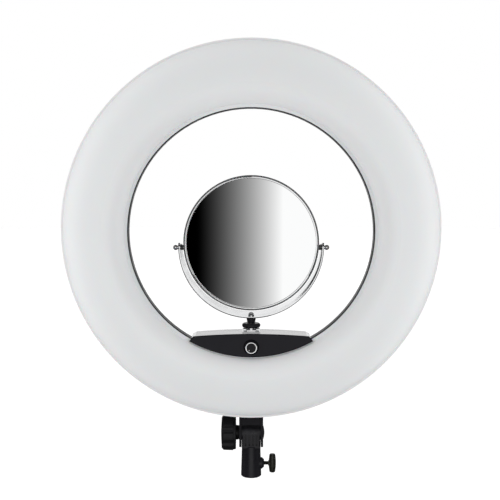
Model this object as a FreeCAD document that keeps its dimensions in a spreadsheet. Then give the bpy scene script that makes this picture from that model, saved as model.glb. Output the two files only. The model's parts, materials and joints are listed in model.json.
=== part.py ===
import FreeCAD, Part
import math
import os
import Sketcher

# Ring light on a tilting stand socket, with a two-sided mirror on the shoe of its control bar.
# Millimetres. +X is right as seen from the front, -Y is the lit side, +Z is up.
# The origin is the centre of the stand socket's mouth, on the underside of the stand adapter.

Vector = FreeCAD.Vector

DIMENSIONS = {
    # ring
    "ring_radius": 240.0,
    "ring_height": 325.5,
    "opening_radius": 151.5,
    "wall": 2.4,
    "rim_lip": 1.2,
    "rim_front": -58.0,
    "rim_back": -45.0,
    "crown_radius": 182.0,
    "crown_front": -78.0,
    "dome_radius": 237.0,
    "dome_back": -31.0,
    "seam": -26.0,
    "pan_back": -9.0,
    "board_front": -34.0,
    "board_thickness": 1.6,
    # control bar
    "bar_front": -61.0,
    "bar_split": -30.0,
    "bar_back": -22.0,
    "bar_top": 199.3,
    "bar_end": 196.3,
    "bar_flange_radius": 155.8,
    "bar_radius": 151.2,
    "bar_half_width": 77.0,
    "bar_top_half_width": 72.0,
    "bar_wall": 2.0,
    "dimmer_height": 182.8,
    "driver_height": 188.5,
    # mirror and its stem
    "stem_depth": -42.0,
    "mirror_height": 311.0,
    "mirror_radius": 84.8,
    "mirror_half": 4.5,
    "pivot_height": 305.5,
    "yoke_height": 307.6,
    "yoke_radius": 90.9,
    "yoke_sheet": 2.0,
    "yoke_depth": 6.0,
    "yoke_top": 311.5,
    "stud_radius": 3.0,
    "tip_radius": 2.0,
    "disc_radius": 11.5,
    # tilt clevis
    "tilt_height": 58.0,
    "tongue_half": 12.3,
    "tongue_radius": 11.0,
    "ear_inside": 12.6,
    "ear_outside": 15.6,
    "ear_radius": 16.3,
    "bolt_radius": 4.0,
    "knob_radius": 23.3,
    # stand adapter
    "socket_radius": 8.1,
    "socket_depth": 38.0,
    "tube_foot_radius": 13.4,
    "tube_top_radius": 12.2,
    "shoulder": 41.5,
    "lock_height": 16.8,
    "lock_boss_radius": 7.5,
    "lock_screw_radius": 2.5,
    "lock_pad_radius": 3.2,
    "lock_insert_radius": 4.0,
    # screws, posts and leads
    "rim_screw_circle": 231.0,
    "post_circle": 196.0,
    "bracket_screw_x": 8.0,
    "bracket_screw_low": 117.5,
    "bracket_screw_high": 137.5,
    "bar_screw_x": 35.0,
    "bar_screw_depth": -51.0,
    "shell_screw_x": 52.0,
    "shell_screw_side_height": 190.5,
    "shell_screw_middle_height": 179.0,
    "shoe_screw_x": 7.6,
    "lead_x": 12.0,
    "lead_depth": -41.4,
    # inlet and switch in the back of the bar
    "control_x": 26.0,
    "control_height": 185.5,
    "rocker_pivot": -23.5,
    "rocker_low": 182.5,
    "rocker_high": 189.5,
    # shoe and pivots
    "shoe_half": 11.0,
    "seat_drop": 0.25,
    "pivot_screw_radius": 1.5,
    "bush_radius": 3.2,
    # fits
    "running": 0.05,
    "loose": 0.3,
}

BOARDS = 4
POSTS = 8
RIM_SCREWS = 8
LEDS_PER_ROW = 36
VENTS = 28
KNOB_LOBES = 8
DISC_FLUTES = 20
ROCKER_TIP = 13.0

TURN = {
    "X": FreeCAD.Rotation(Vector(0, 0, 1), Vector(1, 0, 0)),
    "-X": FreeCAD.Rotation(Vector(0, 0, 1), Vector(-1, 0, 0)),
    "Y": FreeCAD.Rotation(Vector(0, 0, 1), Vector(0, 1, 0)),
    "-Y": FreeCAD.Rotation(Vector(0, 0, 1), Vector(0, -1, 0)),
    "Z": FreeCAD.Rotation(),
}


class Dim:
    """A length worked out from the sheet: its number, and the formula that binds it."""

    def __init__(self, number, formula):
        self.number = number
        self.formula = formula

    def __add__(self, other):
        other = dim(other)
        return Dim(self.number + other.number, f"({self.formula} + {other.formula})")

    def __sub__(self, other):
        other = dim(other)
        return Dim(self.number - other.number, f"({self.formula} - {other.formula})")

    def __mul__(self, other):
        other = dim(other)
        return Dim(self.number * other.number, f"({self.formula} * {other.formula})")

    def __truediv__(self, other):
        other = dim(other)
        return Dim(self.number / other.number, f"({self.formula} / {other.formula})")

    def __neg__(self):
        return Dim(-self.number, f"(0 - {self.formula})")

    def __radd__(self, other):
        return dim(other) + self

    def __rsub__(self, other):
        return dim(other) - self

    def __rmul__(self, other):
        return dim(other) * self

    def root(self):
        return Dim(math.sqrt(self.number), f"sqrt({self.formula})")


def dim(value):
    if isinstance(value, Dim):
        return value
    text = f"{abs(value):.6f}"
    return Dim(float(value), text if value >= 0 else f"(0 - {text})")


doc = FreeCAD.newDocument("RingLight")
sizes = doc.addObject("Spreadsheet::Sheet", "Sizes")
for row, (word, number) in enumerate(DIMENSIONS.items(), start=1):
    sizes.set(f"A{row}", word)
    sizes.set(f"B{row}", str(number))
    sizes.setAlias(f"B{row}", word)
doc.recompute()


def size(word):
    return Dim(DIMENSIONS[word], f"Sizes.{word}")


ring_radius = size("ring_radius")
ring_z = size("ring_height")
opening_radius = size("opening_radius")
wall = size("wall")
lip_radius = opening_radius + size("rim_lip")
rim_front = size("rim_front")
rim_back = size("rim_back")
crown_radius = size("crown_radius")
crown_front = size("crown_front")
dome_radius = size("dome_radius")
dome_back = size("dome_back")
seam = size("seam")
pan_back = size("pan_back")
board_front = size("board_front")
board_back = board_front + size("board_thickness")
bar_front = size("bar_front")
bar_split = size("bar_split")
bar_back = size("bar_back")
bar_top = size("bar_top")
bar_wall = size("bar_wall")
dimmer_z = size("dimmer_height")
driver_z = size("driver_height")
stem_y = size("stem_depth")
mirror_z = size("mirror_height")
mirror_radius = size("mirror_radius")
mirror_half = size("mirror_half")
pivot_z = size("pivot_height")
yoke_z = size("yoke_height")
yoke_radius = size("yoke_radius")
yoke_sheet = size("yoke_sheet")
yoke_depth = size("yoke_depth")
yoke_top = size("yoke_top")
stud_radius = size("stud_radius")
tip_radius = size("tip_radius")
disc_radius = size("disc_radius")
tilt_z = size("tilt_height")
tongue_half = size("tongue_half")
tongue_radius = size("tongue_radius")
ear_inside = size("ear_inside")
ear_outside = size("ear_outside")
ear_radius = size("ear_radius")
bolt_radius = size("bolt_radius")
knob_radius = size("knob_radius")
socket_radius = size("socket_radius")
socket_depth = size("socket_depth")
shoulder = size("shoulder")
lock_z = size("lock_height")
lock_screw_radius = size("lock_screw_radius")
lock_pad_radius = size("lock_pad_radius")
lock_insert_radius = size("lock_insert_radius")
rim_screw_circle = size("rim_screw_circle")
post_circle = size("post_circle")
bracket_screw_x = size("bracket_screw_x")
bracket_screw_low = size("bracket_screw_low")
bracket_screw_high = size("bracket_screw_high")
bar_screw_x = size("bar_screw_x")
bar_screw_y = size("bar_screw_depth")
shoe_screw_x = size("shoe_screw_x")
lead_x = size("lead_x")
lead_y = size("lead_depth")
inlet_x = -size("control_x")
switch_x = size("control_x")
control_z = size("control_height")
rocker_y = size("rocker_pivot")
rocker_low = size("rocker_low")
rocker_high = size("rocker_high")
shoe_half = size("shoe_half")
seat_drop = size("seat_drop")
pivot_screw_radius = size("pivot_screw_radius")
bush_radius = size("bush_radius")
running = size("running")
loose = size("loose")


# ---------------------------------------------------------------- building blocks


def bind(obj, prop, value):
    value = dim(value)
    obj.setExpression(prop, value.formula)


def place(obj, x, y, z, rotation=None):
    rotation = rotation or FreeCAD.Rotation()
    spot = Vector(dim(x).number, dim(y).number, dim(z).number)
    obj.Placement = FreeCAD.Placement(spot, rotation)
    bind(obj, "Placement.Base.x", x)
    bind(obj, "Placement.Base.y", y)
    bind(obj, "Placement.Base.z", z)
    return obj


def cylinder(radius, length, x, y, z, axis="Z"):
    """A cylinder of this length along axis, from the point (x, y, z)."""
    obj = doc.addObject("Part::Cylinder", "Cylinder")
    bind(obj, "Radius", radius)
    bind(obj, "Height", length)
    return place(obj, x, y, z, TURN[axis])


def cone(radius, end_radius, length, x, y, z, axis="Z"):
    obj = doc.addObject("Part::Cone", "Cone")
    bind(obj, "Radius1", radius)
    bind(obj, "Radius2", end_radius)
    bind(obj, "Height", length)
    return place(obj, x, y, z, TURN[axis])


def ball(radius, x, y, z):
    obj = doc.addObject("Part::Sphere", "Sphere")
    bind(obj, "Radius", radius)
    return place(obj, x, y, z)


def box(x, y, z):
    """A box between two values along each axis."""
    obj = doc.addObject("Part::Box", "Box")
    for side, (low, high) in zip(("Length", "Width", "Height"), (x, y, z)):
        bind(obj, side, dim(high) - low)
    return place(obj, x[0], y[0], z[0])


def hex_prism(circumradius, length, x, y, z, axis):
    obj = doc.addObject("Part::Prism", "Prism")
    obj.Polygon = 6
    bind(obj, "Circumradius", circumradius)
    bind(obj, "Height", length)
    return place(obj, x, y, z, TURN[axis])


def cut(base, *tools):
    obj = doc.addObject("Part::Cut", "Cut")
    obj.Base = base
    obj.Tool = tools[0] if len(tools) == 1 else group(*tools)
    return obj


def fuse(*shapes):
    obj = doc.addObject("Part::MultiFuse", "Fuse")
    obj.Shapes = list(shapes)
    obj.Refine = True
    return obj


def common(base, tool):
    obj = doc.addObject("Part::Common", "Common")
    obj.Base = base
    obj.Tool = tool
    return obj


def group(*shapes):
    """Separate solids kept side by side as one object."""
    obj = doc.addObject("Part::Compound", "Group")
    obj.Links = list(shapes)
    return obj


def rounded(base, radius, wanted):
    """Fillets the edges of base for which wanted(edge) is true."""
    doc.recompute()
    found = [number for number, edge in enumerate(base.Shape.Edges, start=1) if wanted(edge)]
    obj = doc.addObject("Part::Fillet", "Fillet")
    obj.Base = base
    obj.Edges = [(number, radius, radius) for number in found]
    return obj


def spin(obj, angle, x=0, y=0, z=0, axis=Vector(0, 1, 0)):
    """Turns an already placed object about an axis through (x, y, z), by degrees."""
    about = Vector(dim(x).number, dim(y).number, dim(z).number)
    for part in ("x", "y", "z"):
        obj.setExpression(f"Placement.Base.{part}", None)
    turned = FreeCAD.Placement(about, FreeCAD.Rotation(axis, angle), Vector(0, 0, 0))
    back = FreeCAD.Placement(-about, FreeCAD.Rotation())
    obj.Placement = turned.multiply(back).multiply(obj.Placement)
    return obj


def on_circle(radius, angle):
    """The x and z of a point on a circle about the ring's axis, at an angle from +X in degrees."""
    x = radius * math.cos(math.radians(angle))
    z = ring_z + radius * math.sin(math.radians(angle))
    return dim(x), z


def arc_between(start, end, radius, turn):
    """An arc from start to end whose centre lies left of the way for turn 1, right for turn -1."""
    chord = end - start
    rise = math.sqrt(radius ** 2 - (chord.Length / 2) ** 2)
    normal = Vector(-chord.y, chord.x, 0).normalize()
    centre = (start + end) * 0.5 + normal * rise * turn
    first, last = (start, end) if turn > 0 else (end, start)
    angles = [math.atan2(point.y - centre.y, point.x - centre.x) for point in (first, last)]
    return Part.ArcOfCircle(Part.Circle(centre, Vector(0, 0, 1), radius), *angles)


def draw(sketch, corners):
    """Closes an outline through corners (x, y) or (x, y, radius, turn), and binds every corner.

    With a radius, the side that leaves the corner is an arc.
    """
    count = len(corners)
    corners = [tuple(dim(value) for value in corner[:3]) + corner[3:] for corner in corners]
    spots = [Vector(corner[0].number, corner[1].number, 0) for corner in corners]
    ends = []
    for index, corner in enumerate(corners):
        start, end = spots[index], spots[(index + 1) % count]
        if len(corner) == 2:
            sketch.addGeometry(Part.LineSegment(start, end))
            ends.append((1, 2))
        else:
            sketch.addGeometry(arc_between(start, end, corner[2].number, corner[3]))
            ends.append((1, 2) if corner[3] > 0 else (2, 1))
    for index in range(count):
        after = (index + 1) % count
        joint = (index, ends[index][1], after, ends[after][0])
        sketch.addConstraint(Sketcher.Constraint("Coincident", *joint))
    for index, corner in enumerate(corners):
        point = (index, ends[index][0])
        for kind, value, axis in (("DistanceX", corner[0], -2), ("DistanceY", corner[1], -1)):
            if abs(value.number) < 1e-9:
                sketch.addConstraint(Sketcher.Constraint("PointOnObject", *point, axis))
            else:
                made = sketch.addConstraint(Sketcher.Constraint(kind, -1, 1, *point, value.number))
                sketch.setExpression(f"Constraints[{made}]", value.formula)
        if len(corner) > 2:
            made = sketch.addConstraint(Sketcher.Constraint("Radius", index, corner[2].number))
            sketch.setExpression(f"Constraints[{made}]", corner[2].formula)


def body_with_sketch(plane, corners):
    body = doc.addObject("PartDesign::Body", "Body")
    sketch = body.newObject("Sketcher::SketchObject", "Outline")
    origin_plane = next(item for item in body.Origin.OriginFeatures if item.Role == plane)
    sketch.AttachmentSupport = [(origin_plane, "")]
    sketch.MapMode = "FlatFace"
    draw(sketch, corners)
    return body, sketch


def revolve(plane, axis, corners, x=0, y=0, z=0, angle=360.0, start=0.0):
    """A body turned from an outline about the sketch's H_Axis or V_Axis."""
    body, sketch = body_with_sketch(plane, corners)
    feature = body.newObject("PartDesign::Revolution", "Revolution")
    feature.Profile = sketch
    feature.ReferenceAxis = (sketch, [axis])
    feature.Angle = angle
    return place(body, x, y, z, FreeCAD.Rotation(Vector(0, 1, 0), start))


def extrude(plane, corners, low, high):
    """A body padded between two values along the normal axis of plane."""
    body, sketch = body_with_sketch(plane, corners)
    feature = body.newObject("PartDesign::Pad", "Pad")
    feature.Profile = sketch
    bind(feature, "Length", dim(high) - low)
    if plane == "XZ_Plane":
        return place(body, 0, high, 0)
    if plane == "YZ_Plane":
        return place(body, low, 0, 0)
    return place(body, 0, 0, low)


def turned_about_ring(corners, angle=360.0, start=0.0):
    """A body of revolution about the ring's axis, from corners (radius, y)."""
    return revolve("XY_Plane", "V_Axis", corners, z=ring_z, angle=angle, start=start)


def screw(head_radius, head, radius, length, x, y, z, axis, recess=1.2):
    """A pan-head screw: the head starts at (x, y, z), the shank goes on along axis."""
    way = TURN[axis].multVec(Vector(0, 0, 1))
    under = [dim(value) + way[index] * dim(head) for index, value in enumerate((x, y, z))]
    solid = fuse(
        cylinder(head_radius, head, x, y, z, axis),
        cylinder(radius, length, *under, axis),
    )
    across = dim(head_radius) * 0.55
    slot = dim(head_radius) * 0.16
    arms = []
    for wide, narrow in ((across, slot), (slot, across)):
        span = [wide, narrow]
        extent = []
        for index, value in enumerate((x, y, z)):
            if abs(way[index]) > 0.5:
                ends = sorted((dim(value), dim(value) + way[index] * recess), key=lambda item: item.number)
                extent.append(tuple(ends))
            else:
                half = span.pop()
                extent.append((dim(value) - half, dim(value) + half))
        arms.append(box(*extent))
    return cut(solid, fuse(*arms))


nodes = {}


def node(name, obj):
    obj.Label = name
    nodes[name] = obj
    return obj


# ---------------------------------------------------------------- stand adapter


washer_radius = 9.6
washer_sink = 0.7


def stand_adapter():
    """Tapered socket tube with a closed top, a clamp-screw boss and a ribbed tongue for the tilt bolt."""
    foot = size("tube_foot_radius")
    top = size("tube_top_radius")
    tube = revolve(
        "XZ_Plane",
        "V_Axis",
        [
            (socket_radius, 0),
            (foot - 1.2, 0),
            (foot, 1.2),
            (top, shoulder - 1.0),
            (top - 1.0, shoulder),
            (0, shoulder),
            (0, socket_depth),
            (socket_radius, socket_depth),
        ],
    )
    boss_radius = size("lock_boss_radius")
    boss = fuse(
        cylinder(boss_radius, 7.2, 7.0, 0, lock_z, "X"),
        cone(boss_radius, boss_radius - 2.6, 2.8, 14.2, 0, lock_z, "X"),
    )
    block = rounded(
        box((-tongue_half, tongue_half), (-tongue_radius, tongue_radius), (shoulder - 2, tilt_z)),
        2.0,
        lambda edge: edge.BoundBox.ZLength > 5.0,
    )
    tongue = fuse(cylinder(tongue_radius, tongue_half * 2, -tongue_half, 0, tilt_z, "X"), block)
    bore = cylinder(socket_radius, socket_depth, 0, 0, 0)
    grooves = []
    pitch = 4.8
    half_groove = 0.9
    for depth in ((-12.5, -8.6), (8.6, 12.5)):
        for column in range(4):
            centre = pitch * (column - 1.5)
            across = (centre - half_groove, centre + half_groove)
            grooves.append(box(across, depth, (shoulder + 1.5, tilt_z - 1.0)))
    bolt_hole = cylinder(bolt_radius + running, 40.0, -20.0, 0, tilt_z, "X")
    insert_hole = cylinder(lock_insert_radius, 12.0, 10.6, 0, lock_z, "X")
    pad_hole = cylinder(lock_pad_radius + 0.15, 6.0, 4.7, 0, lock_z, "X")
    washer_seats = [
        cylinder(washer_radius + loose, 2.0, x, 0, tilt_z, "X")
        for x in (-tongue_half + washer_sink - 2.0, tongue_half - washer_sink)
    ]
    solid = fuse(tube, cut(boss, bore), tongue)
    return cut(solid, *grooves, *washer_seats, bolt_hole, insert_hole, pad_hole)


node("stand_adapter", stand_adapter())
node(
    "boss_insert",
    cut(
        cylinder(lock_insert_radius, 6.2, 10.8, 0, lock_z, "X"),
        cylinder(lock_screw_radius + running, 8.0, 10.0, 0, lock_z, "X"),
    ),
)
node("lock_pad", cylinder(lock_pad_radius, 2.0, socket_radius, 0, lock_z, "X"))
node("lock_screw", cylinder(lock_screw_radius, 14.8, socket_radius + 2.1, 0, lock_z, "X"))


def lock_handle():
    """Short barrel-shaped T-bar moulded across the end of the clamp screw."""
    half = 12.3
    radius = 4.8
    end_radius = 3.9
    flank = half - 1.5
    bulge = radius - end_radius
    centre = 27.9
    bar = revolve(
        "XZ_Plane",
        "V_Axis",
        [
            (0, -half),
            (end_radius - 1.5, -half, 1.5, 1),
            (end_radius, -flank, (flank * flank + bulge * bulge) / (bulge * 2), 1),
            (end_radius, flank, 1.5, 1),
            (end_radius - 1.5, half),
            (0, half),
        ],
        x=centre,
        z=lock_z,
    )
    hub = cone(3.6, 4.2, 5.0, 22.6, 0, lock_z, "X")
    return cut(fuse(bar, hub), cylinder(lock_screw_radius, 6.0, 19.0, 0, lock_z, "X"))


node("lock_handle", lock_handle())

# ---------------------------------------------------------------- tilt clevis


def bracket_screw_spots():
    return [(side * bracket_screw_x, z) for side in (-1, 1) for z in (bracket_screw_low, bracket_screw_high)]


def clevis_bracket():
    """Channel bracket: a web screwed to the ring's back, and two ears that straddle the tongue."""
    top = 146.5
    bend = 108.5
    low_bend = 88.5
    web_foot = 71.5
    corner = 4.0
    sheet = 3.0
    ear = [
        (pan_back, top),
        (pan_back, bend),
        (-ear_radius, low_bend),
        (-ear_radius, tilt_z - ear_radius + corner, corner, 1),
        (-ear_radius + corner, tilt_z - ear_radius),
        (0, tilt_z - ear_radius, ear_radius, 1),
        (ear_radius, tilt_z),
        (ear_radius - 2.3, low_bend + 2.0),
        (sheet, top - 4.0),
        (sheet - 4.0, top),
    ]
    web = [
        (pan_back, top),
        (pan_back, bend),
        (-ear_radius + 1.0, low_bend),
        (-ear_radius + 1.0, web_foot),
        (-ear_radius + 1.0 + sheet, web_foot),
        (-ear_radius + 1.0 + sheet, low_bend - 0.7),
        (pan_back + sheet, bend - 0.7),
        (pan_back + sheet, top),
    ]
    solid = fuse(
        extrude("YZ_Plane", ear, ear_inside, ear_outside),
        extrude("YZ_Plane", ear, -ear_outside, -ear_inside),
        extrude("YZ_Plane", web, -ear_outside, ear_outside),
    )
    bolt_hole = cylinder(bolt_radius + running, 40.0, -20.0, 0, tilt_z, "X")
    screw_holes = [cylinder(2.1, 8.0, x, pan_back - 3.0, z, "Y") for x, z in bracket_screw_spots()]
    return cut(solid, bolt_hole, *screw_holes)


node("clevis_bracket", clevis_bracket())
node(
    "bracket_screws",
    group(*[screw(3.6, 2.6, 1.9, 11.4, x, pan_back + 5.6, z, "-Y") for x, z in bracket_screw_spots()]),
)


def tilt_bolt():
    """Bolt with a low mushroom head."""
    length = 48.0
    head_radius = 9.0
    rise = 1.9
    edge = 0.3
    dome_rise = rise - edge
    dome_round = (head_radius * head_radius + dome_rise * dome_rise) / (dome_rise * 2)
    head = revolve(
        "XY_Plane",
        "H_Axis",
        [
            (ear_outside, 0),
            (ear_outside + rise, 0, dome_round, 1),
            (ear_outside + edge, head_radius),
            (ear_outside, head_radius),
        ],
        z=tilt_z,
    )
    return fuse(head, cylinder(bolt_radius, length, ear_outside - length, 0, tilt_z, "X"))


node("tilt_bolt", tilt_bolt())
washer_start = tongue_half - washer_sink + 0.15
node(
    "friction_washers",
    group(
        *[
            cut(
                cylinder(washer_radius, ear_inside - washer_start, low, 0, tilt_z, "X"),
                cylinder(bolt_radius + running, 30.0, low - 15, 0, tilt_z, "X"),
            )
            for low in (washer_start, -ear_inside)
        ]
    ),
)
node(
    "tilt_washer",
    cut(
        cylinder(9.2, 1.0, -ear_outside - 1.0, 0, tilt_z, "X"),
        cylinder(bolt_radius + running, 6.0, -ear_outside - 3.0, 0, tilt_z, "X"),
    ),
)


def knob_insert_hex():
    return hex_prism(7.0, 11.0, -31.0, 0, tilt_z, "X")


def tilt_knob():
    """Lobed clamping knob with a neck, a flange and a slightly domed outer face."""
    face = -39.4
    foot = -ear_outside - 1.1
    flange = -19.9
    solid = revolve(
        "XY_Plane",
        "H_Axis",
        [
            (foot, bolt_radius + running),
            (foot, 9.4),
            (flange + 0.3, 9.6),
            (flange, knob_radius - 2.2),
            (flange - 0.8, knob_radius - 1.2),
            (flange - 3.3, knob_radius - 1.2),
            (flange - 3.9, knob_radius),
            (face + 3.4, knob_radius - 0.4),
            (face + 0.9, knob_radius - 3.2),
            (face, 6.0),
            (face, 0),
            (face + 3.4, 0),
            (face + 3.4, bolt_radius + running),
        ],
        z=tilt_z,
    )
    scallops = []
    reach = knob_radius + 3.4
    for lobe in range(KNOB_LOBES):
        angle = 2 * math.pi * (lobe + 0.5) / KNOB_LOBES
        y = reach * math.sin(angle)
        z = tilt_z + reach * math.cos(angle)
        scallops.append(cylinder(6.2, 20.0, face - 3.2, y, z, "X"))
    return cut(solid, *scallops, knob_insert_hex())


node("tilt_knob", tilt_knob())
node(
    "tilt_knob_insert",
    cut(
        knob_insert_hex(),
        cylinder(bolt_radius + running, 14.0, -32.0, 0, tilt_z, "X"),
    ),
)

# ---------------------------------------------------------------- ring

def rim_screw_spots():
    return [on_circle(rim_screw_circle, 22.5 + 360.0 / RIM_SCREWS * index) for index in range(RIM_SCREWS)]


def post_spots():
    return [on_circle(post_circle, 22.5 + 360.0 / POSTS * index) for index in range(POSTS)]


def rear_housing():
    """Shallow pan behind the dome: short inner wall with a thin lip, sloping shoulders, flat back."""
    flat_inner = 178.0
    flat_outer = 214.0
    lip = ring_radius - 4.0
    lip_back = -21.6
    corners = [
        (opening_radius, rim_front),
        (lip_radius, rim_front),
        (lip_radius, rim_front + 3.0),
        (opening_radius + wall, rim_front + 3.0),
        (opening_radius + wall, rim_back - 0.8),
        (flat_inner + 1.2, pan_back - wall),
        (flat_outer - 1.2, pan_back - wall),
        (lip - wall, lip_back - wall),
        (lip + 0.6, seam),
        (lip + 3.0, seam),
        (lip, lip_back),
        (flat_outer, pan_back),
        (flat_inner, pan_back),
        (opening_radius, rim_back),
    ]
    pan = turned_about_ring(corners)
    soft = rounded(
        pan,
        3.0,
        lambda edge: edge.BoundBox.YLength < 0.01
        and min(abs(edge.BoundBox.YMin - level) for level in (pan_back.number, lip_back)) < 0.01,
    )
    extras = []
    holes = []
    for x, z in rim_screw_spots():
        extras.append(cylinder(4.6, 4.0, x, -24.3, z, "Y"))
        holes.append(cylinder(1.8, 20.0, x, -30.0, z, "Y"))
        holes.append(cylinder(3.5, 20.0, x, -21.4, z, "Y"))
    for x, z in post_spots():
        extras.append(cylinder(4.0, pan_back - 1.0 - board_back, x, board_back, z, "Y"))
        holes.append(cylinder(1.25, 11.0, x, board_back - 1.0, z, "Y"))
    for x, z in bracket_screw_spots():
        extras.append(cylinder(4.6, 9.0, x, pan_back - 10.0, z, "Y"))
        holes.append(cylinder(1.95, 10.6, x, pan_back - 9.5, z, "Y"))
    for side in (-1, 1):
        holes.append(cylinder(1.5, 16.0, side * lead_x, lead_y, 160.5))
        holes.append(cylinder(1.8, 10.0, side * bar_screw_x, bar_screw_y, 170.5))
    for index in range(VENTS):
        angle = 360.0 / VENTS * (index + 0.5)
        if abs(angle - 270.0) < 20.0:
            continue
        slot = box((-1.0, 1.0), (-15.0, -5.0), (ring_z + 186.0, ring_z + 206.0))
        holes.append(spin(slot, angle + 90.0, z=ring_z))
    return cut(fuse(soft, *extras), *holes)


node("rear_housing", rear_housing())


def front_diffuser():
    """Opal dome: a tight round inside, a broad round outside, and a narrow flange at its seam."""
    skin = 2.2
    rim_outer = 157.0
    inner_reach = crown_radius - rim_outer
    inner_rise = rim_front - crown_front
    inner_round = (inner_reach * inner_reach + inner_rise * inner_rise) / (inner_rise * 2)
    outer_reach = dome_radius - crown_radius
    outer_rise = dome_back - crown_front
    outer_round = (outer_reach * outer_reach + outer_rise * outer_rise) / (outer_rise * 2)
    inner_hollow = inner_round - skin
    outer_hollow = outer_round - skin
    inner_drop = inner_round - inner_rise + skin
    inner_end = crown_radius - (inner_hollow * inner_hollow - inner_drop * inner_drop).root()
    outer_drop = outer_round - outer_rise
    outer_end = crown_radius + (outer_hollow * outer_hollow - outer_drop * outer_drop).root()
    dome = turned_about_ring(
        [
            (lip_radius + loose, rim_front),
            (rim_outer, rim_front, inner_round, 1),
            (crown_radius, crown_front, outer_round, 1),
            (dome_radius, dome_back),
            (ring_radius - 0.6, dome_back),
            (ring_radius, dome_back + 0.6),
            (ring_radius, seam),
            (outer_end, seam),
            (outer_end, dome_back, outer_hollow, -1),
            (crown_radius, crown_front + skin, inner_hollow, -1),
            (inner_end, rim_front + skin),
            (lip_radius + loose, rim_front + skin),
        ]
    )
    bosses = [cylinder(3.6, 15.0, x, -40.0, z, "Y") for x, z in rim_screw_spots()]
    holes = [cylinder(1.55, 10.0, x, -34.0, z, "Y") for x, z in rim_screw_spots()]
    return cut(fuse(dome, *bosses), *holes)


node("front_diffuser", front_diffuser())
node(
    "housing_screws",
    group(*[screw(3.1, 2.2, 1.5, 11.0, x, -19.2, z, "-Y") for x, z in rim_screw_spots()]),
)


def led_board(index):
    """A quarter of the ring of circuit board, with holes over two posts."""
    share = 360.0 / BOARDS
    gap = 0.4
    inner = 165.0
    outer = 226.0
    quarter = turned_about_ring(
        [(inner, board_front), (outer, board_front), (outer, board_back), (inner, board_back)],
        angle=share - 2 * gap,
        start=share * index + gap,
    )
    holes = [cylinder(1.7, 6.0, x, board_front - 2.0, z, "Y") for x, z in post_spots()]
    return cut(quarter, *holes)


for board in range(BOARDS):
    node(f"led_board_{board + 1}", led_board(board))
node(
    "led_board_screws",
    group(*[screw(2.6, 1.8, 1.2, 9.0, x, board_front - 1.8, z, "Y") for x, z in post_spots()]),
)


def led_row(radius):
    """A circle of chips, turned so that none of them crosses a gap between boards."""
    row = []
    middle = ring_z + radius
    for index in range(LEDS_PER_ROW):
        angle = 360.0 / LEDS_PER_ROW * (index + 0.5)
        chip = box((-2.8, 2.8), (board_front - 1.0, board_front), (middle - 1.5, middle + 1.5))
        row.append(spin(chip, angle, z=ring_z))
    return group(*row)


node("warm_leds", led_row(178.0))
node("cool_leds", led_row(214.0))


def led_lead(side):
    """Insulated lead from the driver board down through the wall to the LED board."""
    x = side * lead_x
    radius = 0.9
    bend = 161.5
    down = cylinder(radius, 30.0, x, lead_y, bend)
    back = cylinder(radius, board_front - lead_y, x, lead_y, bend, "Y")
    return fuse(down, back, ball(radius, x, lead_y, bend))


node("led_leads", group(led_lead(-1), led_lead(1)))

# ---------------------------------------------------------------- control bar


def bar_outline(radius, inset):
    """The bar seen from the front: its lower edge follows the ring, its top is a flat bow."""
    reach = radius - inset
    step = size("bar_flange_radius") - radius
    half = size("bar_half_width") - step * 0.6 - inset * 1.3
    top_half = size("bar_top_half_width") - step * 0.55 - inset * 1.4
    end = size("bar_end") - inset
    top = bar_top - inset
    low = ring_z - (reach * reach - half * half).root()
    bow = top - end
    top_round = (top_half * top_half + bow * bow) / (bow * 2)
    return [
        (-half, low, reach, 1),
        (half, low),
        (top_half, end, top_round, 1),
        (-top_half, end),
    ]


def shoe_seat():
    """Flat sunk in the bar's bowed top, where the shoe sits."""
    reach = shoe_half + 0.2
    return box((-reach, reach), (stem_y - reach, stem_y + reach), (bar_top - seat_drop, bar_top + 5))


def parting_groove():
    """Shallow groove round the bar where its two halves meet."""
    low = bar_split - 0.3
    high = bar_split + 0.3
    radius = size("bar_radius")
    return cut(
        extrude("XZ_Plane", bar_outline(radius, -0.5), low, high),
        extrude("XZ_Plane", bar_outline(radius, 0.4), low - 1, high + 1),
    )


def shell_screw_spots():
    side_z = size("shell_screw_side_height")
    spots = [(side * size("shell_screw_x"), side_z) for side in (-1, 1)]
    return spots + [(dim(0), size("shell_screw_middle_height"))]


def bar_front_shell():
    """Front half: a face that overlaps the ring's rim, and walls behind it."""
    radius = size("bar_radius")
    face = rounded(
        extrude("XZ_Plane", bar_outline(size("bar_flange_radius"), 0), bar_front, rim_front - loose),
        1.0,
        lambda edge: abs(edge.BoundBox.YMax - bar_front.number) < 0.01,
    )
    walls = extrude("XZ_Plane", bar_outline(radius, 0), rim_front - loose, bar_split)
    hollow = extrude("XZ_Plane", bar_outline(radius, bar_wall), bar_front + 2.5, bar_split + 1)
    dish = cone(9.6, 8.4, 1.2, 0, bar_front, dimmer_z, "Y")
    shaft_hole = cylinder(3.6, 8.0, 0, bar_front - 1, dimmer_z, "Y")
    posts = []
    bores = []
    for side in (-1, 1):
        posts.append(common(
            cylinder(4.0, 16.0, side * bar_screw_x, bar_screw_y, 177.5),
            extrude("XZ_Plane", bar_outline(radius, 1.0), bar_front + 2.4, bar_split),
        ))
        bores.append(cylinder(1.55, 12.0, side * bar_screw_x, bar_screw_y, 174.5))
        bores.append(cylinder(1.5, 14.0, side * lead_x, lead_y, 169.5))
        bores.append(cylinder(1.55, 10.0, side * shoe_screw_x, stem_y, 191.5))
    for (x, z), start in zip(shell_screw_spots(), (bar_front + 2.0, bar_front + 2.0, bar_front + 15.0)):
        posts.append(cylinder(3.4, bar_split - start, x, start, z, "Y"))
        bores.append(cylinder(1.55, 14.0, x, bar_split - 12.0, z, "Y"))
    solid = fuse(cut(fuse(face, walls), hollow), *posts)
    return cut(solid, dish, shaft_hole, shoe_seat(), parting_groove(), *bores)


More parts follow.
